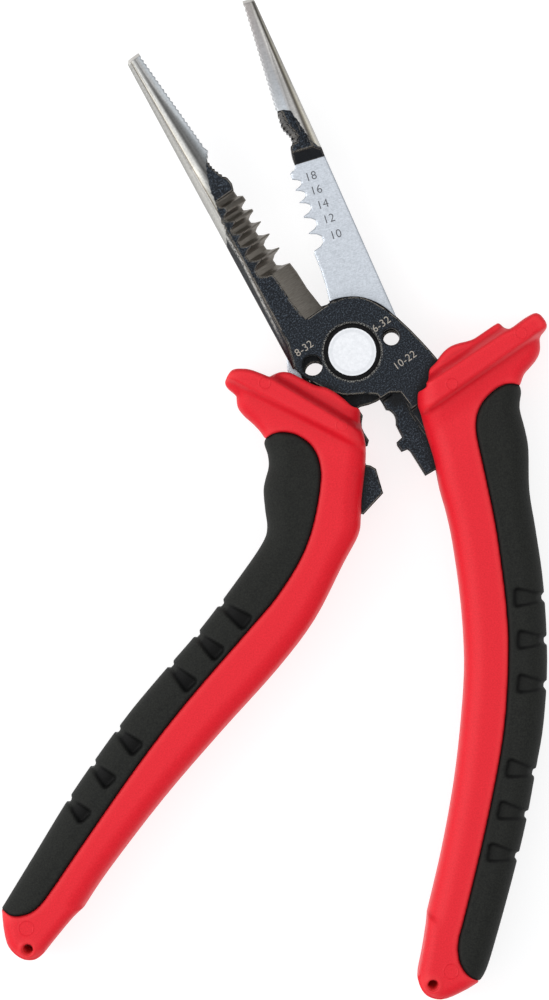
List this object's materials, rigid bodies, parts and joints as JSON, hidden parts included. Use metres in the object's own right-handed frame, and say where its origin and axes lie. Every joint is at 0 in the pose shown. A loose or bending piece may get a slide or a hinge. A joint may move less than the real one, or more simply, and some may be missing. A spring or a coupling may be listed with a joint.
{
  "type": "wire stripper",
  "caption": "Long-nose combination wire stripper and cutter with lapped steel levers on one rivet, an angled head, and red grips with black soft pads.",
  "frame": {"origin": "centre of the rivet's front face, on the pivot axis", "axes": "the tool lies flat and open; +Y runs from the grips towards the jaw tips, +X to the right-hand grip, +Z along the pivot axis out of the face that carries the numbers"},
  "size_m": [0.1119, 0.2049, 0.0208],
  "materials": {
    "blackened_steel": "black oxide on a machined face, bright where it is ground",
    "ground_steel": "fine ground",
    "rivet_steel": "satin",
    "red_plastic": "satin moulded",
    "black_rubber": "matte soft-touch"
  },
  "bodies": {
    "front_side": {"front_lever": "blackened_steel", "pivot_rivet": "rivet_steel", "right_grip": "red_plastic", "right_grip_pad": "black_rubber"},
    "rear_side": {"rear_lever": "ground_steel", "left_grip": "red_plastic", "left_grip_pad": "black_rubber"}
  },
  "joints": [
    {"name": "jaw_pivot", "type": "hinge", "parent": "front_side", "child": "rear_side", "pos_m": [0, 0, 0], "axis": [0, 0, 1], "range_deg": [-4, 18]}
  ]
}
